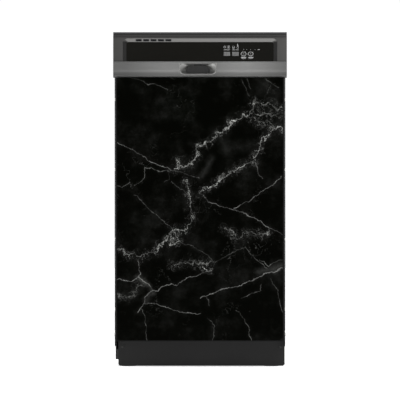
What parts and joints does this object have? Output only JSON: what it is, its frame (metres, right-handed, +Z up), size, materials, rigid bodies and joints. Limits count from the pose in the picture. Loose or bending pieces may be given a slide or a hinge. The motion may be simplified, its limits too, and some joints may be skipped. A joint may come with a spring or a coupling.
{
  "type": "built in dishwasher",
  "caption": "Slimline built-in dishwasher with a drop-down marble-look door, front console with a pocket handle, racks, spray arms and base with pumps and feet.",
  "frame": {"origin": "on the floor, under the middle of the machine's overall depth and width", "axes": "+Z up; the door faces -Y; +X to the right as you face the door"},
  "size_m": [0.448, 0.622, 0.864],
  "materials": {
    "galvanised": "galvanised sheet, dull spangle",
    "stainless": "brushed stainless steel",
    "plated_steel": "zinc plated and bright",
    "spring_steel": "oiled spring steel",
    "black_paint": "satin black paint",
    "dark_film": "dark brushed metallic lacquer",
    "band_film": "brushed grey metallic lacquer",
    "marble_film": "glossy black marble laminate with pale veins",
    "black_plastic": "matt black moulding",
    "paddle_plastic": "satin black moulding",
    "metallised_plastic": "metallised moulding",
    "grey_plastic": "mid grey polypropylene",
    "light_plastic": "light grey polypropylene",
    "white_plastic": "white nylon",
    "blue_plastic": "blue moulding",
    "smoked_glass": "smoked black glass",
    "lens_plastic": "dark tinted lens",
    "key_plastic": "grey satin key caps",
    "gasket_rubber": "soft black rubber",
    "felt": "bitumen-backed felt",
    "green_board": "circuit board",
    "coated_wire": "grey nylon-coated wire"
  },
  "bodies": {
    "cabinet": {"base_tray": "black_plastic", "left_side_panel": "galvanised", "right_side_panel": "galvanised", "rear_panel": "galvanised", "top_front_rail": "galvanised", "chassis_screws": "plated_steel", "kickplate": "black_paint", "tub_wrapper": "stainless", "tub_pan": "stainless", "tub_gasket": "gasket_rubber", "insulation_blanket": "felt", "sump": "grey_plastic", "coarse_filter": "stainless", "feed_pipe": "grey_plastic", "heating_element": "stainless", "wash_pump": "black_plastic", "drain_pump": "white_plastic", "inlet_valve": "white_plastic", "junction_box": "galvanised", "hinge_pins": "plated_steel", "door_springs": "spring_steel"},
    "door": {"door_outer_panel": "black_paint", "door_screws": "plated_steel", "decor_panel": "marble_film", "door_liner": "stainless", "hinge_arms": "galvanised", "console_carrier": "black_plastic", "console_fascia": "dark_film", "handle_band": "band_film", "display_glass": "smoked_glass", "indicator_lenses": "lens_plastic", "handle_pocket": "metallised_plastic", "control_board": "green_board", "dispenser_body": "grey_plastic"},
    "latch": {"latch_paddle": "paddle_plastic"},
    "cycle_key": {"cycle_key": "key_plastic"},
    "options_key": {"options_key": "key_plastic"},
    "start_key": {"start_key": "key_plastic"},
    "cancel_key": {"cancel_key": "key_plastic"},
    "dispenser_lid": {"dispenser_lid": "light_plastic"},
    "rinse_aid_cap": {"rinse_aid_cap": "blue_plastic"},
    "lower_rack": {"lower_rack": "coated_wire", "cutlery_basket": "grey_plastic"},
    "lower_front_wheels": {"lower_rack_front_wheels": "light_plastic"},
    "lower_rear_wheels": {"lower_rack_rear_wheels": "light_plastic"},
    "upper_rack": {"upper_rack": "coated_wire", "rack_rails": "stainless", "upper_manifold": "grey_plastic"},
    "cup_shelf": {"cup_shelf": "grey_plastic"},
    "upper_spray_arm": {"upper_spray_arm": "grey_plastic"},
    "front_rollers": {"front_rail_rollers": "white_plastic"},
    "rear_rollers": {"rear_rail_rollers": "white_plastic"},
    "lower_spray_arm": {"lower_spray_arm": "grey_plastic"},
    "fine_filter": {"fine_filter": "light_plastic"},
    "float": {"float_dome": "light_plastic"},
    "impeller": {"wash_impeller": "white_plastic"},
    "front_left_foot": {"front_left_foot": "black_plastic"},
    "front_right_foot": {"front_right_foot": "black_plastic"},
    "rear_feet": {"rear_feet": "black_plastic"}
  },
  "joints": [
    {"name": "door_hinge", "type": "hinge", "parent": "cabinet", "child": "door", "pos_m": [0, -0.255, 0.088], "axis": [1, 0, 0], "range_deg": [0, 90], "stiffness_Nm_per_rad": 16, "springref_deg": -11.46, "deforming": ["door_springs"]},
    {"name": "latch_pivot", "type": "hinge", "parent": "door", "child": "latch", "pos_m": [-0.0055, -0.283, 0.846], "axis": [-1, 0, 0], "range_deg": [0, 8], "stiffness_Nm_per_rad": 1.5, "springref_deg": -6.88},
    {"name": "cycle_press", "type": "slide", "parent": "door", "child": "cycle_key", "axis": [0, 1, 0], "range_m": [0, 0.0012], "stiffness_N_per_m": 1200, "springref_m": -0.0006},
    {"name": "options_press", "type": "slide", "parent": "door", "child": "options_key", "axis": [0, 1, 0], "range_m": [0, 0.0012], "stiffness_N_per_m": 1200, "springref_m": -0.0006},
    {"name": "start_press", "type": "slide", "parent": "door", "child": "start_key", "axis": [0, 1, 0], "range_m": [0, 0.0012], "stiffness_N_per_m": 1200, "springref_m": -0.0006},
    {"name": "cancel_press", "type": "slide", "parent": "door", "child": "cancel_key", "axis": [0, 1, 0], "range_m": [0, 0.0012], "stiffness_N_per_m": 1200, "springref_m": -0.0006},
    {"name": "dispenser_lid_slide", "type": "slide", "parent": "door", "child": "dispenser_lid", "axis": [-1, 0, 0], "range_m": [0, 0.058]},
    {"name": "rinse_cap_turn", "type": "hinge", "parent": "door", "child": "rinse_aid_cap", "pos_m": [0.036, -0.236, 0.516], "axis": [0, 1, 0], "range_deg": [0, 90]},
    {"name": "lower_rack_slide", "type": "slide", "parent": "cabinet", "child": "lower_rack", "axis": [0, -1, 0], "range_m": [0, 0.09]},
    {"name": "lower_front_wheel_roll", "type": "hinge", "parent": "lower_rack", "child": "lower_front_wheels", "pos_m": [0, -0.165, 0.14], "axis": [1, 0, 0], "continuous": true},
    {"name": "lower_rear_wheel_roll", "type": "hinge", "parent": "lower_rack", "child": "lower_rear_wheels", "pos_m": [0, 0.165, 0.14], "axis": [1, 0, 0], "continuous": true},
    {"name": "upper_rack_slide", "type": "slide", "parent": "cabinet", "child": "upper_rack", "axis": [0, -1, 0], "range_m": [0, 0.4]},
    {"name": "front_roller_turn", "type": "hinge", "parent": "cabinet", "child": "front_rollers", "pos_m": [0, -0.215, 0.569], "axis": [1, 0, 0], "continuous": true},
    {"name": "rear_roller_turn", "type": "hinge", "parent": "cabinet", "child": "rear_rollers", "pos_m": [0, -0.15, 0.569], "axis": [1, 0, 0], "continuous": true},
    {"name": "cup_shelf_fold", "type": "hinge", "parent": "upper_rack", "child": "cup_shelf", "pos_m": [-0.1578, 0, 0.561], "axis": [0, -1, 0], "range_deg": [0, 90]},
    {"name": "upper_arm_spin", "type": "hinge", "parent": "upper_rack", "child": "upper_spray_arm", "pos_m": [0, 0.006, 0.446], "axis": [0, 0, 1], "continuous": true},
    {"name": "lower_arm_spin", "type": "hinge", "parent": "cabinet", "child": "lower_spray_arm", "pos_m": [0, 0.02, 0.134], "axis": [0, 0, 1], "continuous": true},
    {"name": "filter_twist", "type": "hinge", "parent": "cabinet", "child": "fine_filter", "pos_m": [0.036, -0.016, 0.1], "axis": [0, 0, 1], "range_deg": [0, 90]},
    {"name": "float_rise", "type": "slide", "parent": "cabinet", "child": "float", "axis": [0, 0, 1], "range_m": [0, 0.012]},
    {"name": "impeller_spin", "type": "hinge", "parent": "cabinet", "child": "impeller", "pos_m": [-0.11, 0.04, 0.062], "axis": [1, 0, 0], "continuous": true},
    {"name": "front_left_foot_screw", "type": "slide", "parent": "cabinet", "child": "front_left_foot", "axis": [0, 0, -1], "range_m": [0, 0.03]},
    {"name": "front_right_foot_screw", "type": "slide", "parent": "cabinet", "child": "front_right_foot", "axis": [0, 0, -1], "range_m": [0, 0.03]},
    {"name": "rear_feet_screw", "type": "slide", "parent": "cabinet", "child": "rear_feet", "axis": [0, 0, -1], "range_m": [0, 0.03]}
  ],
  "couplings": [
    {"joint": "upper_rack_slide", "follows": "door_hinge", "m_per_rad": 0.25465},
    {"joint": "lower_rack_slide", "follows": "door_hinge", "m_per_rad": 0.057296},
    {"joint": "lower_front_wheel_roll", "follows": "door_hinge", "ratio": 3.1831},
    {"joint": "lower_rear_wheel_roll", "follows": "door_hinge", "ratio": 3.1831},
    {"joint": "front_roller_turn", "follows": "door_hinge", "ratio": 23.578},
    {"joint": "rear_roller_turn", "follows": "door_hinge", "ratio": 23.578}
  ]
}
